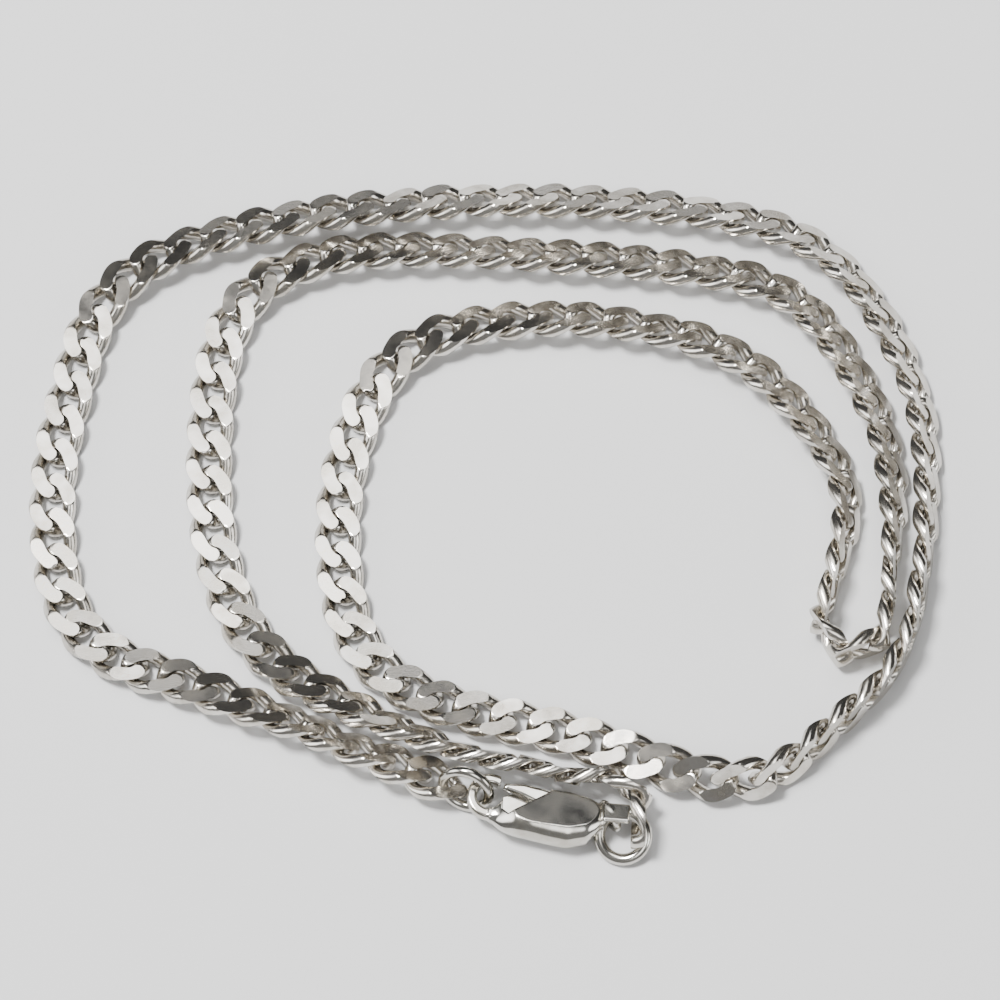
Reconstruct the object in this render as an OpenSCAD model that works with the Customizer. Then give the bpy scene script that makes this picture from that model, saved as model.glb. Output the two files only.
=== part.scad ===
// Flat curb chain necklace, fastened and laid down in three loops.
// Millimetres. +Z is up and the necklace lies on z = 0.

/* [Chain] */
// Step from one link to the next
link_pitch = 3.21; // [3.2:0.005:3.22]
// Width of a link, across its two side wires
link_width = 4.0; // [3.9:0.05:4.05]
// Thickness of a link, between its two cut flats
link_thickness = 1.5; // [1.45:0.05:1.7]
// Diameter of the wire the links are bent from
link_wire = 1.05; // [0.95:0.01:1.08]
// Twist of a link from its middle to each end, in degrees
link_twist = 54; // [50:1:56]

/* [Rings] */
// Wire of the soldered ring that the hook catches
hook_ring_wire = 0.9; // [0.8:0.05:0.95]
// Outside diameter of that ring
hook_ring_outer = 4.9; // [4.8:0.05:5.0]
// Wire of the soldered ring at the clasp's tail
tail_ring_wire = 1.0; // [0.9:0.05:1.05]
// Outside diameter of that ring
tail_ring_outer = 4.9; // [4.8:0.05:5.0]

/* [Clasp] */
// Height of the clasp's body
clasp_height = 3.2; // [3.0:0.1:3.4]
// Width of the clasp's body
clasp_width = 4.7; // [4.5:0.1:4.9]
// Outside diameter of the claw
claw_outer = 3.9; // [3.8:0.05:4.0]
// Opening of the claw
claw_bore = 2.1; // [2.0:0.05:2.15]
// Diameter of the lever's pin
pin_diameter = 0.8; // [0.6:0.05:0.9]
// How far the lever is pressed in, in degrees
lever_angle = 0; // [0:1:22]

/* [Hidden] */
$fn = 48;
silver = [0.78, 0.78, 0.80];
bright_silver = [0.86, 0.86, 0.88];

// Route of the joints between links, from the claw's ring round to the tail's ring.
// Each row is x, y and the lean: how far a link's face is rolled to the right of travel.
ROUTE = [
    // lower left strand, from the claw's ring out to the left
    [-2.1, -24.1, 16], [-6.5, -22.4, 30], [-10.5, -20.9, 48], [-15, -18.8, 42], [-20, -16.7, 26],
    [-25, -14.6, 12], [-30.5, -12.6, 3], [-34.5, -8.5, 0],
    // outer loop: left side, top, right side
    [-36, -2, 0], [-36, 5.5, 0], [-34.8, 12, 0], [-33.2, 18.2, -4], [-30.2, 22.4, -14], [-24.5, 25.4, -26],
    [-14, 28, -32], [-2, 29.2, -34], [9, 29.2, -34], [19, 28.2, -35], [27, 26, -38], [32, 21.8, -44],
    [35.7, 15, -50], [37.6, 8, -58], [37.6, 0, -70], [36.7, -7, -80], [35.2, -12.2, -84],
    // lower right corner and back along the bottom
    [32.5, -16, -85], [29.2, -18.9, -84], [26.4, -21.7, -77], [22.6, -23.6, -60], [18, -23.2, -38],
    [13.3, -21.4, -12], [6.7, -19, 4], [0, -17.6, 8], [-5.5, -15.5, 6],
    // inner loop: left side, top, right side
    [-9.3, -12.6, 2], [-11.2, -8.5, 0], [-12, -2, 0], [-11.6, 4, 0], [-10, 10, 0], [-7.3, 14.6, -8],
    [-2.5, 17.2, -20], [5, 18.2, -31], [13, 17.6, -34], [20, 15.6, -34], [25, 12, -38], [29.2, 6.2, -46],
    // tight turn on edge
    [31, 1, -56], [29.6, -5.5, -80], [28.5, -10.2, -89], [31.2, -12.6, -90], [33.8, -10.2, -91],
    // middle loop: right side, top, left side
    [34.3, -5, -98], [34.9, 1, -118], [34, 8, -132], [30.2, 16.1, -144], [25.4, 21, -148], [17, 23, -148],
    [7, 24, -147], [-3.5, 24.6, -148], [-11, 24.4, -152], [-17.3, 22.6, -163], [-21, 19, -174],
    [-22.6, 13, -179], [-23, 5, -180], [-22.4, -2, -180], [-20.5, -8.5, -182],
    // second strand along the bottom, behind the clasp to its tail
    [-17, -13.1, -192], [-12, -16.4, -212], [-5.5, -19.6, -232], [0, -21.6, -246], [5, -22.6, -250],
    [8.6, -23.5, -253], [11.28, -23.43, -257], [13.4, -25.73, -270], [13.12, -28.4, -270],
    [13.25, -32.5, -270]
];
route_steps = 12;       // points of the curve between two rows
first_inner_link = 70;  // the link where the second chain node starts

// A link's shape: a twisted oval with squarish ends, cut flat on both faces.
link_stations = 10;
link_sides = 5;
link_slack = 0.2;       // play between the wires of two neighbours
link_squareness = 0.7;  // 1 is an ellipse, less is squarer
link_spread = 1.08;     // lets the few stations reach the true width
slew_on_edge = 0.27;    // share of a turn that a link slews about its face
slew_flat = 0.15;       // share of a turn that a link slews about its side
rest_round = 0.2;       // roundness of a link where it rests on the surface
rest_gap = 0.17;        // between the surface and a link's lowest edge
centre = [0.615, 0.399]; // middle of the necklace, in the measure of the route and the clasp's place

link_half_length = (link_pitch + link_wire + link_slack) / 2;
link_half_width = (link_width - link_wire) / 2;

// Height of a link's middle when it rests with this lean.
function rest_height(lean) =
    (link_width / 2 - rest_round) * abs(sin(lean)) +
    (link_thickness / 2 - rest_round) * abs(cos(lean)) + rest_round + rest_gap;

// One point of the smooth curve through four rows, t from 0 to 1.
function blend(a, b, c, d, t) =
    0.5 * (2 * b + (c - a) * t + (2 * a - 5 * b + 4 * c - d) * t * t + (3 * b - a - 3 * c + d) * t * t * t);

last_row = len(ROUTE) - 1;
function row(i) = i < 0 ? 2 * ROUTE[0] - ROUTE[1]
    : i > last_row ? 2 * ROUTE[last_row] - ROUTE[last_row - 1]
    : ROUTE[i];

// The curve in fine steps, each point with its lean as a fourth number.
path = [for (i = [0:last_row - 1], k = [0:route_steps - 1])
    let (p = blend(row(i - 1), row(i), row(i + 1), row(i + 2), k / route_steps))
    [p[0] - centre[0], p[1] - centre[1], rest_height(p[2]), p[2]]];
path_end = len(path) - 1;

function place(p) = [p[0], p[1], p[2]];
function far_from(p, i) = norm(place(path[i]) - place(p));

// The last point of the curve that is still within one pitch of p.
function reach(p, i) = i < path_end && far_from(p, i + 1) < link_pitch ? reach(p, i + 1) : i;

// The point one pitch on from p, between the curve's points i and i + 1.
function step_on(p, i) =
    let (a = far_from(p, i), b = far_from(p, i + 1))
    path[i] + (link_pitch - a) / (b - a) * (path[i + 1] - path[i]);

joints = [for (p = path[0], i = reach(path[0], 0); i < path_end; p = step_on(p, i), i = reach(p, i)) p];
link_count = len(joints) - 1;

function heading(i) =
    let (k = max(0, min(link_count - 1, i)), run = place(joints[k + 1]) - place(joints[k]))
    run / norm(run);

// How far the chain turns at link i, as a vector in degrees.
function turn(i) = (cross(heading(i - 1), heading(i)) + cross(heading(i), heading(i + 1))) * 90 / PI;

// The frame of link i: middle, then its x, y and z directions.
function link_frame(i) =
    let (
        middle = (place(joints[i]) + place(joints[i + 1])) / 2,
        lean = (joints[i][3] + joints[i + 1][3]) / 2,
        x = heading(i),
        flat = cross([0, 0, 1], x),
        side = flat / norm(flat),
        y = side * cos(lean) + cross(x, side) * sin(lean),
        z = cross(x, y),
        yaw = -slew_on_edge * (turn(i) * y),
        nod = -slew_flat * (turn(i) * z),
        x1 = x * cos(yaw) + y * sin(yaw),
        y1 = y * cos(yaw) - x * sin(yaw)
    )
    [middle, x1 * cos(nod) - z * sin(nod), y1, z * cos(nod) + x1 * sin(nod)];

function power(v, e) = sign(v) * pow(abs(v), e);

// Middle line of a link's wire at angle a round the link.
function wire_middle(a) =
    let (
        x = link_half_length * power(cos(a), link_squareness),
        y = link_spread * link_half_width * power(sin(a), link_squareness),
        roll = -link_twist * x / link_half_length
    )
    [x, y * cos(roll), y * sin(roll)];

function clamp_flat(p) = [p[0], p[1], max(-link_thickness / 2, min(link_thickness / 2, p[2]))];

// One ring of points round the wire.
function wire_ring(a) =
    let (
        p = wire_middle(a),
        run = wire_middle(a + 0.05) - wire_middle(a - 0.05),
        along = run / norm(run),
        away = p - along * (p * along),
        out = away / norm(away),
        up = cross(along, out)
    )
    [for (k = [0:link_sides - 1]) let (b = 360 * k / link_sides)
        clamp_flat(p + link_wire / 2 * (cos(b) * out + sin(b) * up))];

link_points = [for (i = [0:link_stations - 1]) each wire_ring(360 * i / link_stations)];
link_faces = [for (i = [0:link_stations - 1], k = [0:link_sides - 1])
    let (
        a = i * link_sides,
        b = (i + 1) % link_stations * link_sides,
        l = (k + 1) % link_sides
    )
    each [[a + l, a + k, b + l], [b + l, a + k, b + k]]];

module chain_link(i) {
    frame = link_frame(i);
    points = [for (p = link_points) frame[0] + p[0] * frame[1] + p[1] * frame[2] + p[2] * frame[3]];
    polyhedron(points = points, faces = link_faces, convexity = 4);
}

module chain_outer() {
    color(silver)
    for (i = [0:first_inner_link - 1])
    chain_link(i);
}

module chain_inner() {
    color(silver)
    for (i = [first_inner_link:link_count - 1])
    chain_link(i);
}

// The clasp lies along its own x axis from the claw's front, far side +y, middle height z = 0.
clasp_start = [-1.2, -26.05, 2.2]; // the claw's front, in the route's own frame
clasp_place = clasp_start - [centre[0], centre[1], 0];
clasp_turn = -4;
clasp_dip = 2.6;        // the claw rides on its ring, the tail on the surface
// Outline from above: x, then the near and the far edge as shares of the width.
body_plan = [[2.2, -0.25, 0.2], [3.1, -0.38, 0.34], [5, -0.46, 0.42], [7, -0.54, 0.42], [8.6, -0.57, 0.4],
             [10.2, -0.46, 0.32], [11.4, -0.27, 0.18]];
// Outline from the side: x, then the share of half the height.
body_side = [[0, 0.34], [2.6, 0.34], [4.2, 1], [9, 1], [11.4, 0.66]];
body_round = 3;         // radius of the body's domed top and underside
body_middle = -0.4;     // where the dome is highest, across the clasp
facet_tilt = 11;        // the flat on top falls toward the far side
facet_sink = 0.28;      // from the body's top down to the flat
facet_height = clasp_height / 2 - facet_sink;
claw_place = [2, 1.05];
mouth_angles = [52, 10]; // from the claw's tip to the lever, round from the clasp's axis
mouth_reach = 2.2;
// The upper side of the slot is cut away beside the lever, down to the middle height.
cheek_cut = [[3.1, 4], [3.1, -0.1], [3.6, -0.53], [6.9, 1.67], [6.9, 4]];
pin_place = [7.4, 0.9];
pin_length = 1.8;
pin_play = 0.05;
lever_play = 0.1;
lever_height = 0.8;
lever_reach = 0.75;     // from the pin to the lever's end inside the body
lever_tip = [-4.4, 0.9]; // from the pin
// The lever's outline from above, from its tip along the far side to the pin's end and back.
lever_outline = [lever_tip, [-4.25, 1.4], [-2.6, 1.45], [-1.1, 1.2], [0.5, 0.75], [lever_reach, 0],
                 [0.5, -0.6], [-0.1, -0.75], [-0.8, -0.4], [-2.8, 0.45]];
slot_play = 0.12;       // beside the lever, above and below
slot_end_play = 0.35;   // past the lever's end
slot_floor = -0.35;     // the slot's near wall, across the clasp
slot_start = pin_place[0] - norm(lever_tip) - lever_play;
slot_end = pin_place[0] + lever_reach + slot_end_play;
slot_height = lever_height + 2 * slot_play;
eye_place = [12, 0.3];
eye_radius = 1.1;       // middle of the eye's tube
eye_tube = 0.36;
eye_turn = -55;         // the eye is set askew, toward the near side
tail_relief = [10.35, -3, 0.4]; // room for the ring under the tail: where it starts, and its roof
tail_block_sink = 0.26; // from the flat's height to the block's underside
tail_block_place = [11.35, -0.95, facet_height - tail_block_sink];
tail_block = [2.2, 1.65, 0.48];

module at_clasp() {
    translate(clasp_place)
    rotate([0, 0, clasp_turn])
    rotate([0, clasp_dip, 0])
    children();
}

module body_from_side() {
    last = len(body_side) - 1;
    half = clasp_height / 2;
    translate([0, clasp_width, 0])
    rotate([90, 0, 0])
    linear_extrude(2 * clasp_width)
    polygon(concat(
        [for (r = body_side) [r[0], half * r[1]]],
        [for (i = [0:last]) [body_side[last - i][0], -half * body_side[last - i][1]]]
    ));
}

module body_from_above() {
    last = len(body_plan) - 1;
    translate([0, 0, -clasp_height / 2])
    linear_extrude(clasp_height)
    polygon(concat(
        [for (r = body_plan) [r[0], clasp_width * r[1]]],
        [for (i = [0:last]) [body_plan[last - i][0], clasp_width * body_plan[last - i][2]]]
    ));
}

// The overlap of two long cylinders, one with the domed top and one with the underside.
module dome() {
    intersection_for (side = [-1, 1])
    translate([0, body_middle, side * (body_round - clasp_height / 2)])
    rotate([0, 90, 0])
    cylinder(h = 2 * eye_place[0], r = body_round);
}

module claw() {
    translate([claw_place[0], claw_place[1], -clasp_height / 2])
    cylinder(h = clasp_height, d = claw_outer);
}

module claw_opening() {
    translate([claw_place[0], claw_place[1], -clasp_height])
    cylinder(h = 2 * clasp_height, d = claw_bore);
    // the mouth, from the claw's tip round to the lever
    translate([claw_place[0], claw_place[1], -clasp_height])
    linear_extrude(2 * clasp_height)
    polygon([[0, 0], for (a = mouth_angles) mouth_reach * [cos(a), sin(a)]]);
}

module lever_slot() {
    translate([slot_start, slot_floor, -slot_height / 2])
    cube([slot_end - slot_start, clasp_width, slot_height]);
    linear_extrude(clasp_height)
    polygon(cheek_cut);
}

module over_facet() {
    rotate([-facet_tilt, 0, 0])
    translate([0, -clasp_width, facet_height])
    cube([eye_place[0], 2 * clasp_width, clasp_height]);
}

module under_tail() {
    translate([tail_relief[0], tail_relief[1], tail_relief[2] - clasp_height])
    cube([eye_place[0], 2 * clasp_width, clasp_height]);
}

module pin_hole() {
    translate([pin_place[0], pin_place[1], -pin_length / 2 - pin_play])
    cylinder(h = pin_length + 2 * pin_play, d = pin_diameter + 2 * pin_play);
}

module tail_eye() {
    translate([eye_place[0], eye_place[1], 0])
    rotate([0, 0, eye_turn])
    rotate([90, 0, 0])
    rotate_extrude()
    translate([eye_radius, 0])
    circle(r = eye_tube, $fn = 24);
}

module clasp_body() {
    color(bright_silver)
    at_clasp() {
        difference() {
            intersection() {
                body_from_side();
                union() {
                    claw();
                    intersection() {
                        body_from_above();
                        dome();
                    }
                }
            }
            claw_opening();
            lever_slot();
            over_facet();
            under_tail();
            pin_hole();
        }
        tail_eye();
        // flat block over the eye
        rotate([-facet_tilt, 0, 0])
        translate(tail_block_place)
        cube(tail_block);
    }
}

module clasp_lever() {
    color(bright_silver)
    at_clasp()
    translate([pin_place[0], pin_place[1], -lever_height / 2])
    rotate([0, 0, lever_angle])
    difference() {
        linear_extrude(lever_height)
        polygon(lever_outline);
        translate([0, 0, -lever_height / 2])
        cylinder(h = 2 * lever_height, d = pin_diameter + 2 * lever_play);
    }
}

module clasp_pin() {
    color(silver)
    at_clasp()
    translate([pin_place[0], pin_place[1], -pin_length / 2])
    cylinder(h = pin_length, d = pin_diameter);
}

// The claw's ring stands leaning against the claw, through its opening.
hook_ring_tilt = 66;
hook_ring_radius = (hook_ring_outer - hook_ring_wire) / 2;
hook_ring_swing = 15;   // toward the chain that pulls on it
hook_ring_seat = 0.1;   // from the opening's middle to the wire inside it

module hook_ring() {
    height = hook_ring_radius * sin(hook_ring_tilt) + hook_ring_wire / 2;
    color(silver)
    translate([clasp_place[0], clasp_place[1], height])
    rotate([0, 0, clasp_turn])
    translate([claw_place[0], claw_place[1], 0])
    rotate([0, 0, -hook_ring_swing])
    translate([-hook_ring_seat - hook_ring_radius, 0, 0])
    rotate([hook_ring_tilt, 0, 0])
    rotate_extrude()
    translate([hook_ring_radius, 0])
    circle(d = hook_ring_wire, $fn = 24);
}

// The tail's ring hangs in the eye and rests on the surface.
tail_ring_radius = (tail_ring_outer - tail_ring_wire) / 2;
tail_ring_lift = 1.634;  // height of the ring's wire inside the eye
tail_ring_swing = 54.3;   // from the eye round to the ring's highest point, seen from its middle
tail_ring_drop = tail_ring_lift - tail_ring_wire / 2;
tail_ring_tilt = asin(tail_ring_drop / (tail_ring_radius * (1 + cos(tail_ring_swing))));

module tail_ring() {
    color(silver)
    translate([clasp_place[0], clasp_place[1], tail_ring_lift])
    rotate([0, 0, clasp_turn])
    translate([eye_place[0], eye_place[1], 0])
    rotate([0, 0, eye_turn - tail_ring_swing])
    rotate([0, tail_ring_tilt, 0])
    rotate([0, 0, tail_ring_swing])
    translate([tail_ring_radius, 0, 0])
    rotate_extrude()
    translate([tail_ring_radius, 0])
    circle(d = tail_ring_wire, $fn = 24);
}

chain_outer();
chain_inner();
hook_ring();
tail_ring();
clasp_body();
clasp_lever();
clasp_pin();
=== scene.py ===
"""Curb chain necklace in polished silver, fastened and laid down in three loops.

Metres, in the part's frame: +Z is up and the necklace lies on z = 0.
"""
import math

import bpy
import numpy as np
import openvdb
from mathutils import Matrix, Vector


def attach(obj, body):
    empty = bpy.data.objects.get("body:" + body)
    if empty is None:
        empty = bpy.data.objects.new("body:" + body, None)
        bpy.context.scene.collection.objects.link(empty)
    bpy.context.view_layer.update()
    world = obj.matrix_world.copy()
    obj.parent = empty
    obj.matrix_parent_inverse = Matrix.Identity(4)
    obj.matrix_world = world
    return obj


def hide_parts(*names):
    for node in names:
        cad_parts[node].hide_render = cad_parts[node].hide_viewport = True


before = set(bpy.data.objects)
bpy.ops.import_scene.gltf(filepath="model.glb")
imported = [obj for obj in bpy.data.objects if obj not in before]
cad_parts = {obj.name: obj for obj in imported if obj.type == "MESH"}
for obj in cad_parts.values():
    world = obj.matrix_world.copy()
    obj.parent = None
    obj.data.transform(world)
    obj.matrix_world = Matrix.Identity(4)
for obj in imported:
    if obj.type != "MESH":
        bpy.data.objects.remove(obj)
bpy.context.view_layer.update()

MM = 0.001

# The camera looks down at the necklace from the near side.
CAMERA_LENS = 200.0
CAMERA_SENSOR = 36.0
CAMERA_NEAR = 0.01
CAMERA_PLACE = np.array([1.077, -174.578, 436.527]) * MM
CAMERA_TILT = 22.0

# The room's own light, then each glow: direction, radius and softness in degrees, and strength.
ROOM_COLOUR = (1.0, 1.0, 1.0)
ROOM_LIGHT = 0.06
GLOWS = [
    ((0, 0.38, 0.92), 11, 7, 5.2),
    ((0.1, -0.5, 0.86), 12, 7, 3.6),
    ((0.0, -0.85, 0.5), 48, 30, 0.22),
    ((-0.85, 0.0, 0.5), 14, 8, 5.0),
    ((0.8, -0.35, 0.45), 12, 7, 4.0),
]
KEY_DIRECTION = (-0.35, 0.1, 0.93)
KEY_DISTANCE = 0.9
KEY_SIZE = (0.2, 0.2)
KEY_POWER = 18.0

# The floor, in millimetres, and its grey.
FLOOR_HALF = 2000.0
FLOOR_GREY = 0.62
FLOOR_ROUGHNESS = 0.9

# Each silver: colour, roughness and strength of its scratches.
CHAIN_SILVER = ((0.72, 0.69, 0.64), 0.19, 0.35)
CLASP_SILVER = ((0.78, 0.76, 0.71), 0.14, 0.15)
CLOUD_SCALE = 420.0
CLOUD_DETAIL = 4.0
CLOUD_ROUGHNESS = 0.6
DULL_SHARE = (0.74, 0.72, 0.68)
DULL_END = 0.35
BRIGHT_START = 0.62
DARKEST_LINK = 0.82
ROUGH_CLOUDS = (0.3, 0.7)
ROUGH_SHARES = (1.5, 0.7)
SCRATCH_STRETCH = (1.0, 7.0, 2.0)
SCRATCH_SCALE = 2600.0
SCRATCH_DETAIL = 3.0
SCRATCH_ROUGHNESS = 0.7
SCRATCH_DEPTH = 0.00001

# The chain, in millimetres, as the part has it.
LINK_PITCH = 3.21
LINK_WIDTH = 4.0
LINK_THICKNESS = 1.5
LINK_WIRE = 1.05
LINK_TWIST = 54.0
LINK_SLACK = 0.2
LINK_SQUARENESS = 0.7
SLEW_ON_EDGE = 0.27
SLEW_FLAT = 0.15
REST_ROUND = 0.2
REST_GAP = 0.17
CENTRE = np.array([0.615, 0.399])
ROUTE_STEPS = 12
FIRST_INNER_LINK = 70

# Route of the joints between links, from the claw's ring round to the tail's ring.
# Each row is x, y and the lean: how far a link's face is rolled to the right of travel.
ROUTE = [
    # lower left strand, from the claw's ring out to the left
    [-2.1, -24.1, 16], [-6.5, -22.4, 30], [-10.5, -20.9, 48], [-15, -18.8, 42], [-20, -16.7, 26],
    [-25, -14.6, 12], [-30.5, -12.6, 3], [-34.5, -8.5, 0],
    # outer loop: left side, top, right side
    [-36, -2, 0], [-36, 5.5, 0], [-34.8, 12, 0], [-33.2, 18.2, -4], [-30.2, 22.4, -14], [-24.5, 25.4, -26],
    [-14, 28, -32], [-2, 29.2, -34], [9, 29.2, -34], [19, 28.2, -35], [27, 26, -38], [32, 21.8, -44],
    [35.7, 15, -50], [37.6, 8, -58], [37.6, 0, -70], [36.7, -7, -80], [35.2, -12.2, -84],
    # lower right corner and back along the bottom
    [32.5, -16, -85], [29.2, -18.9, -84], [26.4, -21.7, -77], [22.6, -23.6, -60], [18, -23.2, -38],
    [13.3, -21.4, -12], [6.7, -19, 4], [0, -17.6, 8], [-5.5, -15.5, 6],
    # inner loop: left side, top, right side
    [-9.3, -12.6, 2], [-11.2, -8.5, 0], [-12, -2, 0], [-11.6, 4, 0], [-10, 10, 0], [-7.3, 14.6, -8],
    [-2.5, 17.2, -20], [5, 18.2, -31], [13, 17.6, -34], [20, 15.6, -34], [25, 12, -38], [29.2, 6.2, -46],
    # tight turn on edge
    [31, 1, -56], [29.6, -5.5, -80], [28.5, -10.2, -89], [31.2, -12.6, -90], [33.8, -10.2, -91],
    # middle loop: right side, top, left side
    [34.3, -5, -98], [34.9, 1, -118], [34, 8, -132], [30.2, 16.1, -144], [25.4, 21, -148], [17, 23, -148],
    [7, 24, -147], [-3.5, 24.6, -148], [-11, 24.4, -152], [-17.3, 22.6, -163], [-21, 19, -174],
    [-22.6, 13, -179], [-23, 5, -180], [-22.4, -2, -180], [-20.5, -8.5, -182],
    # second strand along the bottom, behind the clasp to its tail
    [-17, -13.1, -192], [-12, -16.4, -212], [-5.5, -19.6, -232], [0, -21.6, -246], [5, -22.6, -250],
    [8.6, -23.5, -253], [11.28, -23.43, -257], [13.4, -25.73, -270], [13.12, -28.4, -270],
    [13.25, -32.5, -270],
]

# How finely a link is meshed, and how its cut flats vary. Its wire is a little fuller and its
# flats are cut a little deeper than in the part, whose wire has few sides.
FULL_WIRE = 1.17
CUT_THICKNESS = 1.2
LINK_STATIONS = 64
WIRE_STEPS = 2000
ARC_STEPS = 6
FLAT_STEPS = 4
LEAST_FLAT = math.radians(7)
FLAT_WOBBLE = math.radians(2.6)
MOST_WOBBLE = math.radians(3.0)
SEED = 11


def unit(v):
    return v / np.linalg.norm(v)


def rest_height(lean):
    """Height of a link's middle when it rests with this lean."""
    a = math.radians(lean)
    across = (LINK_WIDTH / 2 - REST_ROUND) * abs(math.sin(a))
    through = (LINK_THICKNESS / 2 - REST_ROUND) * abs(math.cos(a))
    return across + through + REST_ROUND + REST_GAP


def blend_rows(a, b, c, d, t):
    """One point of the smooth curve through four rows, t from 0 to 1."""
    square = (2 * a - 5 * b + 4 * c - d) * t ** 2
    cube = (3 * b - a - 3 * c + d) * t ** 3
    return 0.5 * (2 * b + (c - a) * t + square + cube)


def route_path():
    """The route in fine steps: x, y, z and lean."""
    rows = np.array(ROUTE, float)
    rows = np.vstack([2 * rows[0] - rows[1], rows, 2 * rows[-1] - rows[-2]])
    points = []
    for i in range(len(rows) - 3):
        for k in range(ROUTE_STEPS):
            x, y, lean = blend_rows(*rows[i:i + 4], k / ROUTE_STEPS)
            points.append([x - CENTRE[0], y - CENTRE[1], rest_height(lean), lean])
    return np.array(points)


def route_joints():
    """The joints between links, one pitch apart in a straight line, with their leans."""
    path = route_path()
    joints = [path[0]]
    i = 0
    while True:
        here = joints[-1]
        while i < len(path) - 1 and np.linalg.norm(path[i + 1, :3] - here[:3]) < LINK_PITCH:
            i += 1
        if i >= len(path) - 1:
            return np.array(joints[:-1])
        near = np.linalg.norm(path[i, :3] - here[:3])
        far = np.linalg.norm(path[i + 1, :3] - here[:3])
        joints.append(path[i] + (LINK_PITCH - near) / (far - near) * (path[i + 1] - path[i]))


def link_frames():
    """Middle and axes of every link."""
    joints = route_joints()
    places, leans = joints[:, :3], joints[:, 3]
    runs = np.array([unit(b - a) for a, b in zip(places, places[1:])])
    frames = []
    for i, x in enumerate(runs):
        before, after = runs[max(i - 1, 0)], runs[min(i + 1, len(runs) - 1)]
        turn = np.degrees(np.cross(before, x) + np.cross(x, after)) / 2
        side = unit(np.cross([0, 0, 1], x))
        lean = math.radians((leans[i] + leans[i + 1]) / 2)
        y = side * math.cos(lean) + np.cross(x, side) * math.sin(lean)
        z = np.cross(x, y)
        yaw = math.radians(-SLEW_ON_EDGE * turn.dot(y))
        nod = math.radians(-SLEW_FLAT * turn.dot(z))
        x1 = x * math.cos(yaw) + y * math.sin(yaw)
        y1 = y * math.cos(yaw) - x * math.sin(yaw)
        x2 = x1 * math.cos(nod) - z * math.sin(nod)
        z2 = z * math.cos(nod) + x1 * math.sin(nod)
        frames.append(((places[i] + places[i + 1]) / 2, np.array([x2, y1, z2])))
    return frames


def wire_middles():
    """Middle line of a link's wire, with its stations spread evenly along it."""
    a = np.arange(WIRE_STEPS) * 2 * math.pi / WIRE_STEPS
    half_length = (LINK_PITCH + LINK_WIRE + LINK_SLACK) / 2
    half_width = (LINK_WIDTH - FULL_WIRE) / 2
    x = half_length * np.sign(np.cos(a)) * np.abs(np.cos(a)) ** LINK_SQUARENESS
    y = half_width * np.sign(np.sin(a)) * np.abs(np.sin(a)) ** LINK_SQUARENESS
    roll = -math.radians(LINK_TWIST) * x / half_length
    line = np.stack([x, y * np.cos(roll), y * np.sin(roll)], 1)
    closed = np.vstack([line, line[:1]])
    run = np.concatenate([[0], np.cumsum(np.linalg.norm(np.diff(closed, axis=0), axis=1))])
    want = np.arange(LINK_STATIONS) * run[-1] / LINK_STATIONS
    return np.stack([np.interp(want, run, closed[:, k]) for k in range(3)], 1)


def link_points(middles, cuts):
    """Points round the wire at each station, and which of the flats' edges are crisp.

    cuts holds the plane of the upper and of the lower flat, each as a unit normal.
    """
    radius = FULL_WIRE / 2
    half = CUT_THICKNESS / 2
    points, crisp = [], []
    for i, p in enumerate(middles):
        along = unit(middles[(i + 1) % LINK_STATIONS] - middles[i - 1])
        out = unit(p - along * along.dot(p))
        up = np.cross(along, out)
        angles, edges = [], []
        for normal in cuts:
            lift = np.array([out.dot(normal), up.dot(normal)])
            most = np.linalg.norm(lift)
            peak = math.atan2(lift[1], lift[0])
            room = (half - p.dot(normal)) / (radius * most)
            spread = math.acos(room) if room < 1 else 0.0
            angles.append((peak, max(spread, LEAST_FLAT)))
            edges.append(spread > LEAST_FLAT)
        (a0, s0), (a1, s1) = angles
        a1 = a0 + (a1 - a0) % (2 * math.pi)
        marks = [a0 - s0, a0 + s0, a1 - s1, a1 + s1, a0 - s0 + 2 * math.pi]
        spans = zip(marks, marks[1:], [FLAT_STEPS, ARC_STEPS, FLAT_STEPS, ARC_STEPS])
        for b in [m + (n - m) * k / count for m, n, count in spans for k in range(count)]:
            q = p + radius * (math.cos(b) * out + math.sin(b) * up)
            for normal in cuts:
                q = q - normal * max(0.0, q.dot(normal) - half)
            points.append(q)
        crisp.append(edges)
    return np.array(points), crisp


def mesh_object(name, points, faces, sharp=(), tones=None):
    """A smooth-shaded mesh in metres, with its crisp edges marked and a tone for each point."""
    mesh = bpy.data.meshes.new(name)
    mesh.from_pydata((np.asarray(points) * MM).tolist(), [], faces)
    mesh.shade_smooth()
    if len(sharp):
        lookup = {tuple(sorted(e.vertices)): e.index for e in mesh.edges}
        marks = mesh.attributes.new("sharp_edge", "BOOLEAN", "EDGE")
        for pair in sharp:
            marks.data[lookup[tuple(sorted(pair))]].value = True
    if tones is not None:
        layer = mesh.attributes.new("tone", "FLOAT", "POINT")
        layer.data.foreach_set("value", np.asarray(tones, np.float32))
    piece = bpy.data.objects.new(name, mesh)
    bpy.context.scene.collection.objects.link(piece)
    return piece


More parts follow.
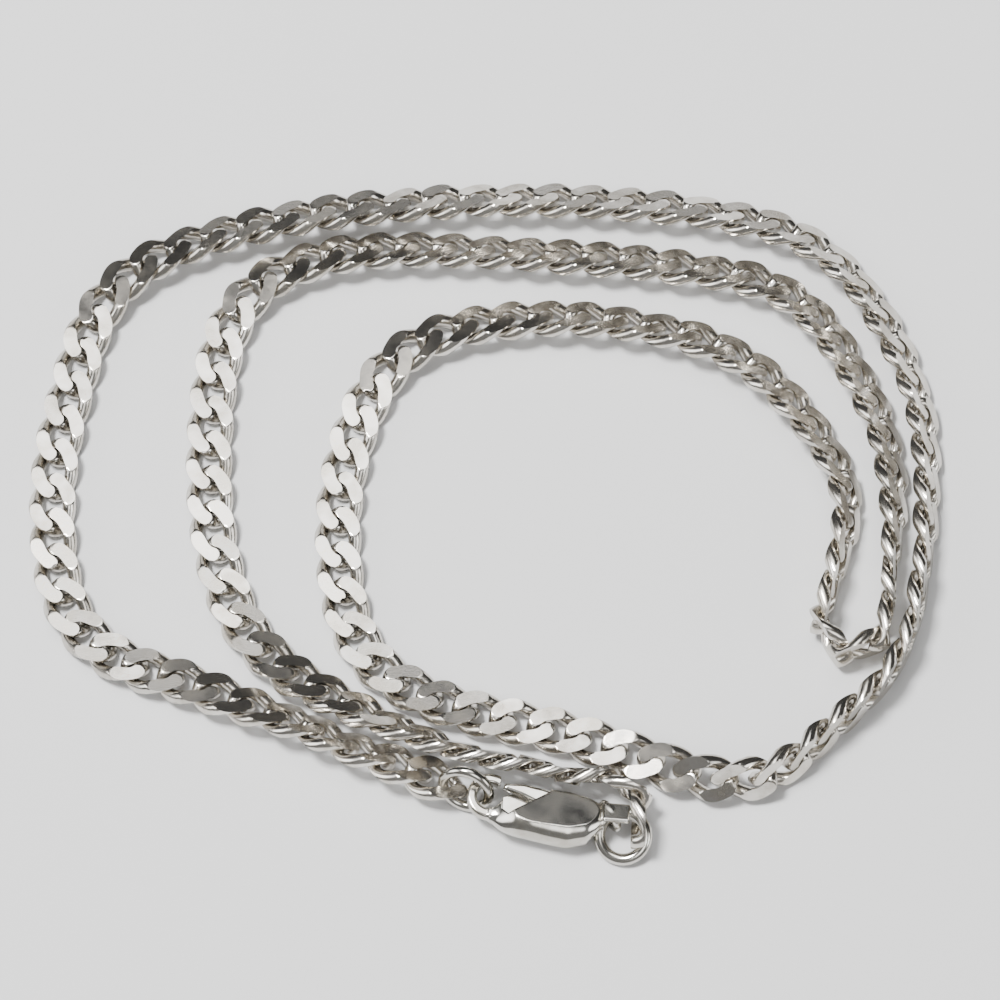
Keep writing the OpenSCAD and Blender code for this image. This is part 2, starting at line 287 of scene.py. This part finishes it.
def chain(name, frames, random):
    """One mesh of separate links."""
    middles = wire_middles()
    ring = 2 * (FLAT_STEPS + ARC_STEPS)
    corners = [0, FLAT_STEPS, FLAT_STEPS + ARC_STEPS, 2 * FLAT_STEPS + ARC_STEPS]
    per_link = LINK_STATIONS * ring
    points, faces, sharp, tones = [], [], [], []
    for n, (middle, axes) in enumerate(frames):
        lean = random.normal(0, FLAT_WOBBLE, 2).clip(-MOST_WOBBLE, MOST_WOBBLE)
        top = unit(np.array([*lean, 1]))
        shape, crisp = link_points(middles, [top, -top])
        points.append(middle + shape @ axes)
        tones.append(np.full(per_link, random.random()))
        start = n * per_link
        for i in range(LINK_STATIONS):
            a = start + i * ring
            b = start + (i + 1) % LINK_STATIONS * ring
            for k in range(ring):
                m = (k + 1) % ring
                faces.append([a + k, a + m, b + m, b + k])
            after = crisp[(i + 1) % LINK_STATIONS]
            for flat in range(2):
                if crisp[i][flat] and after[flat]:
                    for corner in corners[2 * flat:2 * flat + 2]:
                        sharp.append((a + corner, b + corner))
    return mesh_object(name, np.vstack(points), faces, sharp, np.concatenate(tones))


# The clasp, in millimetres, along its own x axis from the claw's front, far side +y and middle
# height z = 0. An EDGE or a FILLET is how far a cut or a joint is softened.
CLASP_PLACE = np.array([-1.815, -26.449, 2.2])
CLASP_TURN = math.radians(-4)
CLASP_DIP = math.radians(2.6)
VOXEL = 0.05
FIELD_LOW = np.array([-0.6, -3.6, -2.6])
FIELD_HIGH = np.array([14.6, 3.8, 2.6])
FIELD_REACH = 0.5
BODY_WIDTH = 4.7
BODY_HALF_HEIGHT = 1.75
# Along the clasp: x, near and far edge as shares of the width, share of the half height.
BODY_FORM = [
    [2.1, -0.22, 0.18, 0.28], [3.1, -0.38, 0.34, 0.52], [4.2, -0.44, 0.41, 0.88], [5.4, -0.48, 0.43, 1.0],
    [7.0, -0.54, 0.43, 1.0], [8.6, -0.58, 0.41, 1.0], [10.2, -0.49, 0.33, 0.92], [11.0, -0.36, 0.26, 0.78],
    [11.5, -0.24, 0.18, 0.62],
]
BODY_STEPS = 300
BODY_SOFTENING = 31     # of those steps, an odd number
BODY_SQUARENESS = 2.5
FACET_TILT = math.radians(11)
FACET_HEIGHT = 1.32
UNDERSIDE = 1.5
CLAW_MIDDLE = np.array([2.0, 1.05])
CLAW_RADIUS = 1.5
CLAW_HALF = np.array([0.45, 0.55])
CLAW_ROUND = 0.3
MOUTH_START = math.radians(10)
MOUTH_END = math.radians(52)
MOUTH_EDGE = 0.15
CLAW_FILLET = 0.35
OPENING_EDGE = 0.12
SLOT_LOW = np.array([2.81, -0.35, -0.52])
SLOT_HIGH = np.array([8.5, 4.0, 0.52])
SLOT_ROUND = 0.1
SLOT_EDGE = 0.08
CHEEK_CUT = [[3.1, 4], [3.1, -0.1], [3.6, -0.53], [6.9, 1.67], [6.9, 4]]
CHEEK_EDGE = 0.12
RELIEF_LOW = np.array([10.35, -4, -4])
RELIEF_HIGH = np.array([20, 4, 0.4])
RELIEF_ROUND = 0.1
RELIEF_EDGE = 0.15
EYE_PLACE = np.array([12.0, 0.3])
EYE_RADIUS = 1.1
EYE_TUBE = 0.36
EYE_TURN = math.radians(-55)
EYE_FILLET = 0.25
BLOCK_LOW = np.array([11.35, -0.95, 1.06])
BLOCK_HIGH = np.array([13.55, 0.7, 1.54])
BLOCK_ROUND = 0.14
BLOCK_FILLET = 0.15
# The lever from above, from its tip along the far side to the pin's end and back.
LEVER_OUTLINE = [
    [3.0, 1.8], [3.15, 2.3], [4.8, 2.35], [6.3, 2.1], [7.9, 1.65],
    [8.15, 0.9], [7.9, 0.3], [7.3, 0.15], [6.6, 0.5], [4.6, 1.35],
]
LEVER_HALF = 0.4
LEVER_ROUND = 0.28
PIN_PLACE = np.array([7.4, 0.9])
PIN_HOLE = 0.5          # radius


def field_grid():
    """The points of the grid on which the clasp's fields are measured."""
    axes = [np.arange(a, b, VOXEL) for a, b in zip(FIELD_LOW, FIELD_HIGH)]
    return np.meshgrid(*axes, indexing="ij")


def melt(a, b, k):
    """Union of two fields with a soft fillet."""
    h = np.clip(0.5 + 0.5 * (b - a) / k, 0, 1)
    return b + (a - b) * h - k * h * (1 - h)


def carve(a, b, k):
    """Field a without field b, with a softened edge."""
    return -melt(-a, b, k)


def block(x, y, z, low, high, rounding):
    """Distance to a box with rounded edges."""
    middle, half = (low + high) / 2, (high - low) / 2 - rounding
    d = [np.abs(v - m) - h for v, m, h in zip((x, y, z), middle, half)]
    outside = np.sqrt(sum(np.maximum(v, 0) ** 2 for v in d))
    return outside + np.minimum(np.maximum(np.maximum(d[0], d[1]), d[2]), 0) - rounding


def rounded(across, through):
    """Distance to a rectangle's edge, from the distances past its two pairs of sides."""
    outside = np.hypot(np.maximum(across, 0), np.maximum(through, 0))
    return outside + np.minimum(np.maximum(across, through), 0)


def tilted(y, z):
    """The same point across and above the lens-shaped flat."""
    return (y * math.cos(FACET_TILT) - z * math.sin(FACET_TILT),
            y * math.sin(FACET_TILT) + z * math.cos(FACET_TILT))


def body_field(x, y, z):
    """The clasp's domed body with its lens-shaped flat."""
    rows = np.array(BODY_FORM)
    fine = np.linspace(rows[0, 0], rows[-1, 0], BODY_STEPS)
    window = np.hanning(BODY_SOFTENING)
    soft = window / window.sum()

    def smooth(column):
        padded = np.pad(np.interp(fine, rows[:, 0], rows[:, column]), BODY_SOFTENING // 2, "edge")
        return np.interp(x, fine, np.convolve(padded, soft, "valid"))

    near, far, height = smooth(1), smooth(2), smooth(3)
    w = BODY_WIDTH * (far - near) / 2
    h = BODY_HALF_HEIGHT * height
    across = np.abs((y - BODY_WIDTH * (far + near) / 2) / w) ** BODY_SQUARENESS
    through = np.abs(z / h) ** BODY_SQUARENESS
    dome = ((across + through) ** (1 / BODY_SQUARENESS) - 1) * np.minimum(w, h)
    ends = np.maximum(rows[0, 0] - x, x - rows[-1, 0])
    over = tilted(y, z)[1] - FACET_HEIGHT
    return np.maximum(np.maximum(dome, ends), np.maximum(over, -z - UNDERSIDE))


def claw_field(x, y, z):
    """The claw: a rounded ring with its mouth cut out."""
    dx, dy = x - CLAW_MIDDLE[0], y - CLAW_MIDDLE[1]
    across = np.abs(np.hypot(dx, dy) - CLAW_RADIUS) - (CLAW_HALF[0] - CLAW_ROUND)
    through = np.abs(z) - (CLAW_HALF[1] - CLAW_ROUND)
    ring = rounded(across, through) - CLAW_ROUND
    first = dy * math.cos(MOUTH_START) - dx * math.sin(MOUTH_START)
    second = dx * math.sin(MOUTH_END) - dy * math.cos(MOUTH_END)
    mouth = -np.minimum(first, second)
    return carve(ring, mouth, MOUTH_EDGE)


def clasp_field(x, y, z):
    """The whole clasp apart from its lever and pin."""
    body = melt(body_field(x, y, z), claw_field(x, y, z), CLAW_FILLET)
    opening = np.hypot(x - CLAW_MIDDLE[0], y - CLAW_MIDDLE[1]) - (CLAW_RADIUS - CLAW_HALF[0])
    body = carve(body, opening, OPENING_EDGE)
    body = carve(body, block(x, y, z, SLOT_LOW, SLOT_HIGH, SLOT_ROUND), SLOT_EDGE)
    cheek = -z
    for a, b in zip(CHEEK_CUT, CHEEK_CUT[1:]):
        side = unit(np.array([b[1] - a[1], a[0] - b[0]]))
        cheek = np.maximum(cheek, (x - a[0]) * side[0] + (y - a[1]) * side[1])
    body = carve(body, cheek, CHEEK_EDGE)
    body = carve(body, block(x, y, z, RELIEF_LOW, RELIEF_HIGH, RELIEF_ROUND), RELIEF_EDGE)
    dx, dy = x - EYE_PLACE[0], y - EYE_PLACE[1]
    around = np.hypot(dx * math.cos(EYE_TURN) + dy * math.sin(EYE_TURN), z) - EYE_RADIUS
    eye = np.hypot(around, dy * math.cos(EYE_TURN) - dx * math.sin(EYE_TURN)) - EYE_TUBE
    body = melt(body, eye, EYE_FILLET)
    return melt(body, block(x, *tilted(y, z), BLOCK_LOW, BLOCK_HIGH, BLOCK_ROUND), BLOCK_FILLET)


def lever_field(x, y, z):
    """A flat lever with rounded edges, from its outline."""
    corners = np.array(LEVER_OUTLINE)
    nearest = np.full(x.shape, np.inf)
    winding = np.zeros(x.shape, int)
    for a, b in zip(corners, np.roll(corners, -1, 0)):
        edge = b - a
        t = np.clip(((x - a[0]) * edge[0] + (y - a[1]) * edge[1]) / edge.dot(edge), 0, 1)
        nearest = np.minimum(nearest, np.hypot(x - a[0] - t * edge[0], y - a[1] - t * edge[1]))
        left = (x - a[0]) * edge[1] - (y - a[1]) * edge[0]
        winding += (a[1] <= y) & (b[1] > y) & (left < 0)
        winding -= (a[1] > y) & (b[1] <= y) & (left > 0)
    plan = np.where(winding != 0, -nearest, nearest) + LEVER_ROUND
    through = np.abs(z) - (LEVER_HALF - LEVER_ROUND)
    hole = np.hypot(x - PIN_PLACE[0], y - PIN_PLACE[1]) - PIN_HOLE
    return np.maximum(rounded(plan, through) - LEVER_ROUND, -hole)


def cast(name, field):
    """A mesh of the surface where the field is zero, set where the clasp lies."""
    grid = openvdb.FloatGrid(1.0)
    grid.copyFromArray(np.clip(field, -FIELD_REACH, FIELD_REACH))
    points, quads = grid.convertToQuads(0.0)
    local = points * VOXEL + FIELD_LOW
    c, s = math.cos(CLASP_DIP), math.sin(CLASP_DIP)
    dip = np.array([[c, 0, s], [0, 1, 0], [-s, 0, c]])
    c, s = math.cos(CLASP_TURN), math.sin(CLASP_TURN)
    turn = np.array([[c, -s, 0], [s, c, 0], [0, 0, 1]])
    return mesh_object(name, local @ (turn @ dip).T + CLASP_PLACE, quads[:, ::-1].tolist())


def silver(name, tint, roughness, scratch):
    """Polished silver: soft clouding, fine scratches and a slight change of tone from link to link."""
    material = bpy.data.materials.new(name)
    material.use_nodes = True
    tree = material.node_tree
    tree.nodes.clear()

    def node(kind, **values):
        made = tree.nodes.new(kind)
        for key, value in values.items():
            if key in made.inputs:
                made.inputs[key].default_value = value
            else:
                setattr(made, key, value)
        return made

    def join(a, out, b, into):
        tree.links.new(a.outputs[out], b.inputs[into])

    place = node("ShaderNodeTexCoord")
    clouds = node("ShaderNodeTexNoise", Scale=CLOUD_SCALE, Detail=CLOUD_DETAIL, Roughness=CLOUD_ROUGHNESS)
    join(place, "Object", clouds, "Vector")
    dull = node("ShaderNodeValToRGB")
    first, last = dull.color_ramp.elements
    first.position = DULL_END
    first.color = (*[t * share for t, share in zip(tint, DULL_SHARE)], 1)
    last.position = BRIGHT_START
    last.color = (*tint, 1)
    join(clouds, "Fac", dull, "Fac")
    tone = node("ShaderNodeAttribute", attribute_name="tone")
    shade = node("ShaderNodeMapRange")
    shade.inputs["To Min"].default_value = DARKEST_LINK
    shade.inputs["To Max"].default_value = 1.0
    join(tone, "Fac", shade, "Value")
    mixed = node("ShaderNodeMix", data_type="RGBA", blend_type="MULTIPLY")
    mixed.inputs["Factor"].default_value = 1.0
    join(dull, "Color", mixed, "A")
    join(shade, "Result", mixed, "B")
    rough = node("ShaderNodeMapRange")
    rough.inputs["From Min"].default_value = ROUGH_CLOUDS[0]
    rough.inputs["From Max"].default_value = ROUGH_CLOUDS[1]
    rough.inputs["To Min"].default_value = roughness * ROUGH_SHARES[0]
    rough.inputs["To Max"].default_value = roughness * ROUGH_SHARES[1]
    join(clouds, "Fac", rough, "Value")
    stretch = node("ShaderNodeMapping")
    stretch.inputs["Scale"].default_value = SCRATCH_STRETCH
    join(place, "Object", stretch, "Vector")
    scratches = node(
        "ShaderNodeTexNoise", Scale=SCRATCH_SCALE, Detail=SCRATCH_DETAIL, Roughness=SCRATCH_ROUGHNESS)
    join(stretch, "Vector", scratches, "Vector")
    bump = node("ShaderNodeBump", Strength=scratch, Distance=SCRATCH_DEPTH)
    join(scratches, "Fac", bump, "Height")
    surface = node("ShaderNodeBsdfPrincipled", Metallic=1.0)
    join(mixed, "Result", surface, "Base Color")
    join(rough, "Result", surface, "Roughness")
    join(bump, "Normal", surface, "Normal")
    output = node("ShaderNodeOutputMaterial")
    join(surface, "BSDF", output, "Surface")
    return material


def floor():
    """A pale, plain floor, far wider than the view."""
    half = FLOOR_HALF
    points = [[-half, -half, 0], [half, -half, 0], [half, half, 0], [-half, half, 0]]
    piece = mesh_object("floor", points, [[0, 1, 2, 3]])
    material = bpy.data.materials.new("floor")
    material.use_nodes = True
    surface = material.node_tree.nodes["Principled BSDF"]
    surface.inputs["Base Color"].default_value = (FLOOR_GREY, FLOOR_GREY, FLOOR_GREY, 1)
    surface.inputs["Roughness"].default_value = FLOOR_ROUGHNESS
    piece.data.materials.append(material)


def camera():
    """The photograph's view, from the near side and above."""
    data = bpy.data.cameras.new("camera")
    data.lens = CAMERA_LENS
    data.sensor_width = CAMERA_SENSOR
    data.clip_start = CAMERA_NEAR
    eye = bpy.data.objects.new("camera", data)
    eye.location = CAMERA_PLACE
    eye.rotation_euler = (math.radians(CAMERA_TILT), 0, 0)
    bpy.context.scene.collection.objects.link(eye)
    bpy.context.scene.camera = eye


def softbox(name, direction, distance, size, power):
    """A rectangular light that looks at the necklace."""
    data = bpy.data.lights.new(name, "AREA")
    data.shape = "RECTANGLE"
    data.size, data.size_y = size
    data.energy = power
    lamp = bpy.data.objects.new(name, data)
    away = Vector(direction).normalized()
    lamp.location = away * distance
    lamp.rotation_mode = "QUATERNION"
    lamp.rotation_quaternion = away.to_track_quat("Z", "Y")
    bpy.context.scene.collection.objects.link(lamp)


def studio():
    """Soft, wide glows round the necklace, with a dim room between them."""
    world = bpy.data.worlds.new("world")
    world.use_nodes = True
    tree = world.node_tree
    back = tree.nodes["Background"]
    back.inputs["Color"].default_value = (*ROOM_COLOUR, 1)
    bpy.context.scene.world = world
    place = tree.nodes.new("ShaderNodeTexCoord")
    total = None
    for direction, radius, softness, value in GLOWS:
        dot = tree.nodes.new("ShaderNodeVectorMath")
        dot.operation = "DOT_PRODUCT"
        dot.inputs[1].default_value = Vector(direction).normalized()
        tree.links.new(place.outputs["Generated"], dot.inputs[0])
        glow = tree.nodes.new("ShaderNodeMapRange")
        glow.interpolation_type = "SMOOTHSTEP"
        glow.inputs["From Min"].default_value = math.cos(math.radians(radius + softness))
        glow.inputs["From Max"].default_value = math.cos(math.radians(radius - softness))
        glow.inputs["To Max"].default_value = value
        tree.links.new(dot.outputs["Value"], glow.inputs["Value"])
        if total is None:
            total = glow.outputs["Result"]
            continue
        add = tree.nodes.new("ShaderNodeMath")
        tree.links.new(total, add.inputs[0])
        tree.links.new(glow.outputs["Result"], add.inputs[1])
        total = add.outputs["Value"]
    room = tree.nodes.new("ShaderNodeMath")
    tree.links.new(total, room.inputs[0])
    room.inputs[1].default_value = ROOM_LIGHT
    tree.links.new(room.outputs["Value"], back.inputs["Strength"])
    softbox("key", KEY_DIRECTION, KEY_DISTANCE, KEY_SIZE, KEY_POWER)


floor()
camera()
studio()
chain_silver = silver("chain_silver", *CHAIN_SILVER)
clasp_silver = silver("clasp_silver", *CLASP_SILVER)

random = np.random.default_rng(SEED)
frames = link_frames()
for name, part in (("chain_outer", frames[:FIRST_INNER_LINK]), ("chain_inner", frames[FIRST_INNER_LINK:])):
    piece = chain(name + "_links", part, random)
    piece.data.materials.append(chain_silver)
    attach(piece, "necklace")
    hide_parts(name)

x, y, z = field_grid()
for name, body, field in (("clasp_body", "necklace", clasp_field), ("clasp_lever", "lever", lever_field)):
    piece = cast(name + "_cast", field(x, y, z))
    piece.data.materials.append(clasp_silver)
    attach(piece, body)
    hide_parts(name)

for name in ("hook_ring", "tail_ring", "clasp_pin"):
    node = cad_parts[name]
    node.data.materials.clear()
    node.data.materials.append(clasp_silver)
